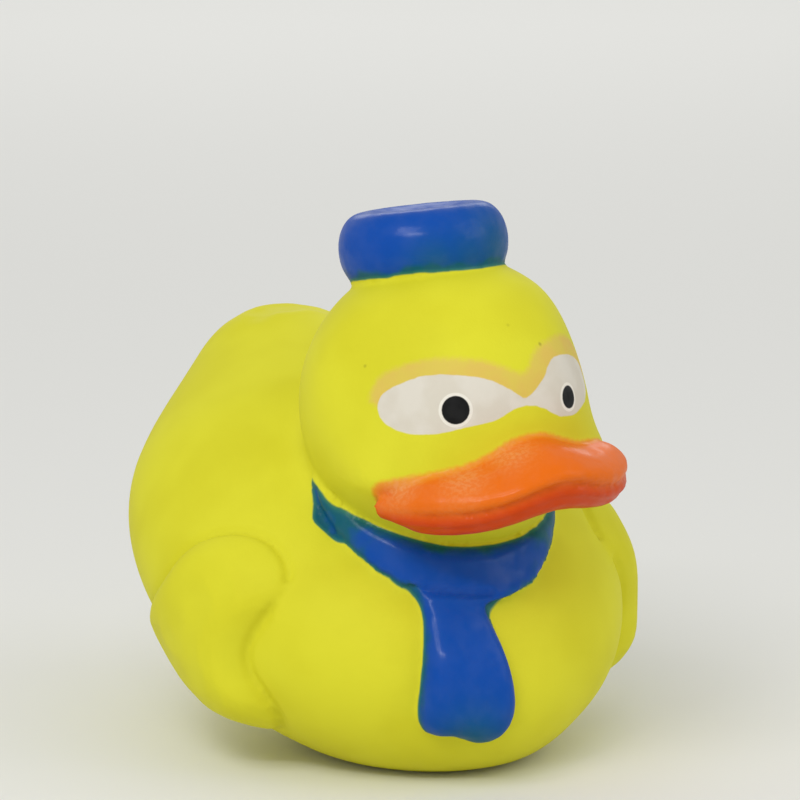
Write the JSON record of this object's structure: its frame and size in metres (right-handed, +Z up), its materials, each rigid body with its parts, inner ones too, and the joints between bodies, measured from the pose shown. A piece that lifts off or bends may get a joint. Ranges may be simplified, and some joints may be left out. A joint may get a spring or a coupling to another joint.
{
  "type": "bath duck",
  "caption": "Squeaking vinyl bath duck with a wide bill, painted eyes, round cap and a scarf with one hanging end.",
  "frame": {"origin": "middle of the outline on the floor under the base", "axes": "+Z up, -Y the way the duck looks, +X towards the duck's left wing"},
  "size_m": [0.0722, 0.0886, 0.079],
  "materials": {
    "painted_vinyl": "soft PVC, matte, with glossy sprayed and brushed paint",
    "squeaker_plastic": "satin",
    "reed_plastic": "glossy film"
  },
  "bodies": {
    "root": {"duck_shell": "painted_vinyl", "squeaker_housing": "squeaker_plastic", "reed_block": "squeaker_plastic", "squeaker_reed": "reed_plastic"}
  },
  "joints": []
}
